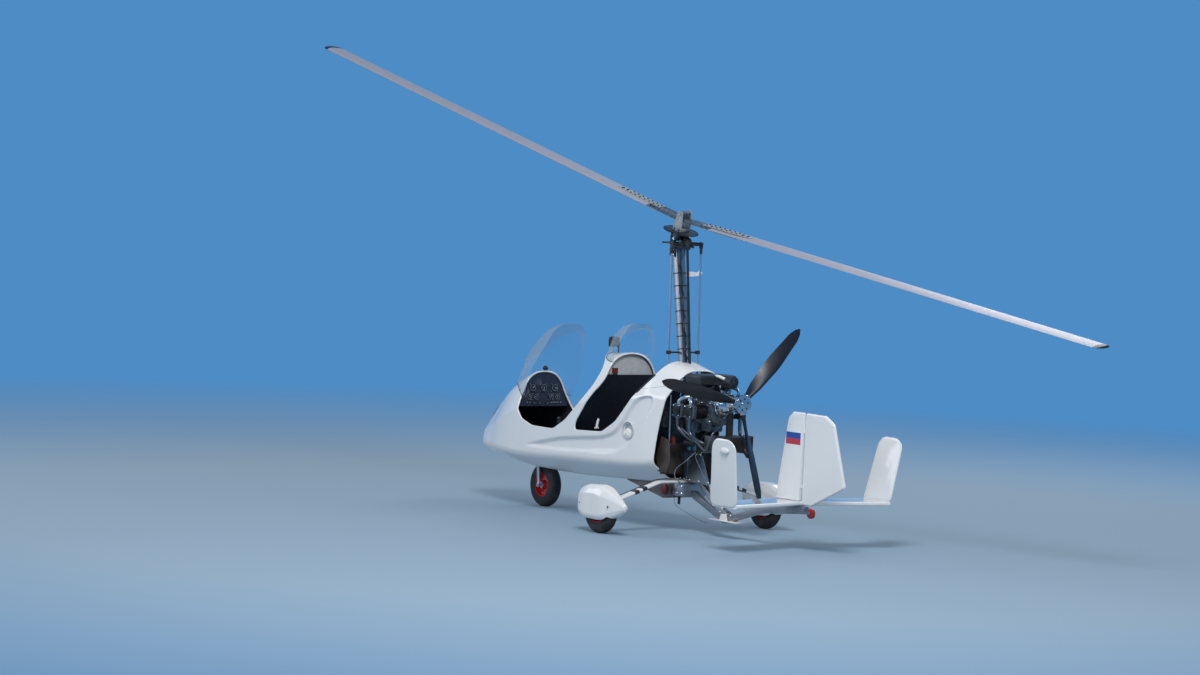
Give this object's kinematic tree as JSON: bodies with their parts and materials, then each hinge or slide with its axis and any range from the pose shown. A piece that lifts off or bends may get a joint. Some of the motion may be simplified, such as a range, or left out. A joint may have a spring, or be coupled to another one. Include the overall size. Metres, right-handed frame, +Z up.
{
  "type": "two-seat tandem gyrocopter",
  "caption": "Open tandem gyrocopter with a teetering rotor, pusher propeller, tricycle gear and a tail with side fins.",
  "frame": {"origin": "on the ground under the middle of the rotor's span, in the plane of symmetry", "axes": "+X aft to the tail, +Y to starboard, +Z up; the nose points to -X"},
  "size_m": [7.832, 2.4688, 3.9559],
  "materials": {
    "white_gelcoat": "high gloss white gelcoat with thin blue and red stripes on the surfaces",
    "grey_panel": "satin light grey moulded panel",
    "dark_interior": "matt dark navy textured moulding",
    "clear_glazing": "clear polycarbonate, slightly smoky at its edges",
    "seat_leather": "black stitched upholstery",
    "black_plastic": "satin black",
    "lens": "clear lamp lens",
    "brushed_steel": "brushed stainless steel",
    "polished_steel": "polished stainless steel",
    "anodised": "satin anodised aluminium",
    "rotor_paint": "satin lilac grey anodised blade skin",
    "cast_alloy": "cast and machined alloy",
    "black_paint": "satin black paint",
    "tyre_rubber": "matt black rubber",
    "red_rim": "gloss red paint",
    "white_paint": "gloss white paint",
    "prop_black": "gloss black composite",
    "red_roller": "red nylon"
  },
  "bodies": {
    "airframe": {"fuselage_tub": "white_gelcoat", "rear_cowl": "white_gelcoat", "cockpit_bulkhead": "dark_interior", "rear_panel": "grey_panel", "firewall": "grey_panel", "rear_seat_panel": "dark_interior", "instrument_panel": "black_plastic", "compass": "black_plastic", "front_windshield": "clear_glazing", "rear_windshield": "clear_glazing", "seat_pans": "black_plastic", "front_seat": "seat_leather", "rear_seat": "seat_leather", "headrest": "seat_leather", "control_sticks": "black_plastic", "rudder_pedals": "cast_alloy", "nose_lamp": "lens", "fuel_cap": "white_gelcoat", "nose_wheel_well": "black_plastic", "gear_bow": "white_gelcoat", "gear_bracket": "brushed_steel", "mast": "brushed_steel", "push_rods": "anodised", "rod_guide": "anodised", "prerotator_shaft": "black_plastic", "beacon": "white_paint", "rotor_head": "cast_alloy", "keel": "brushed_steel", "stabiliser": "white_gelcoat", "fin": "white_gelcoat", "side_fins": "white_gelcoat", "tail_bumper": "red_roller", "crankcase": "cast_alloy", "gearbox": "polished_steel", "cylinders": "cast_alloy", "engine_mount": "black_paint", "intake": "polished_steel", "airbox": "black_plastic", "exhaust_pipes": "polished_steel", "muffler": "black_paint", "belly_tray": "brushed_steel", "blade_antenna": "black_plastic", "axle_stubs": "brushed_steel", "wheel_fairings": "white_gelcoat"},
    "nose_fork": {"nose_fork": "brushed_steel"},
    "nose_wheel": {"nose_tyre": "tyre_rubber", "nose_rim": "red_rim"},
    "left_wheel": {"left_tyre": "tyre_rubber", "left_rim": "red_rim"},
    "right_wheel": {"right_tyre": "tyre_rubber", "right_rim": "red_rim"},
    "propeller": {"propeller_hub": "polished_steel", "propeller_blades": "prop_black"},
    "rotor_tower": {"rotor_tower": "anodised", "prerotator_ring": "anodised"},
    "rotor": {"hub_bar": "rotor_paint", "rotor_blades": "rotor_paint"},
    "rudder": {"rudder": "white_gelcoat"}
  },
  "joints": [
    {"name": "nose_steer", "type": "hinge", "parent": "airframe", "child": "nose_fork", "pos_m": [-1.875, 0, 0.19], "axis": [0, 0, 1], "range_deg": [-30, 30]},
    {"name": "nose_wheel_spin", "type": "hinge", "parent": "nose_fork", "child": "nose_wheel", "pos_m": [-1.845, 0, 0.19], "axis": [0, 1, 0], "continuous": true},
    {"name": "left_wheel_spin", "type": "hinge", "parent": "airframe", "child": "left_wheel", "pos_m": [0.158, -0.87, 0.19], "axis": [0, 1, 0], "continuous": true},
    {"name": "right_wheel_spin", "type": "hinge", "parent": "airframe", "child": "right_wheel", "pos_m": [0.158, 0.87, 0.19], "axis": [0, 1, 0], "continuous": true},
    {"name": "propeller_spin", "type": "hinge", "parent": "airframe", "child": "propeller", "pos_m": [0.852, 0, 1.121], "axis": [1, 0, 0], "continuous": true},
    {"name": "rotor_spin", "type": "hinge", "parent": "airframe", "child": "rotor_tower", "pos_m": [-0.05, 0, 2.604], "axis": [0.2639, 0, 0.9646], "continuous": true},
    {"name": "rotor_teeter", "type": "hinge", "parent": "rotor_tower", "child": "rotor", "pos_m": [-0.03733, 0, 2.6503], "axis": [-0.262, 0.9624, 0.0717], "range_deg": [-8, 8]},
    {"name": "rudder_hinge", "type": "hinge", "parent": "airframe", "child": "rudder", "pos_m": [1.7, 0, 0.4], "axis": [0, 0, 1], "range_deg": [-30, 30]}
  ],
  "couplings": [
    {"joint": "rudder_hinge", "follows": "nose_steer", "ratio": -1}
  ]
}
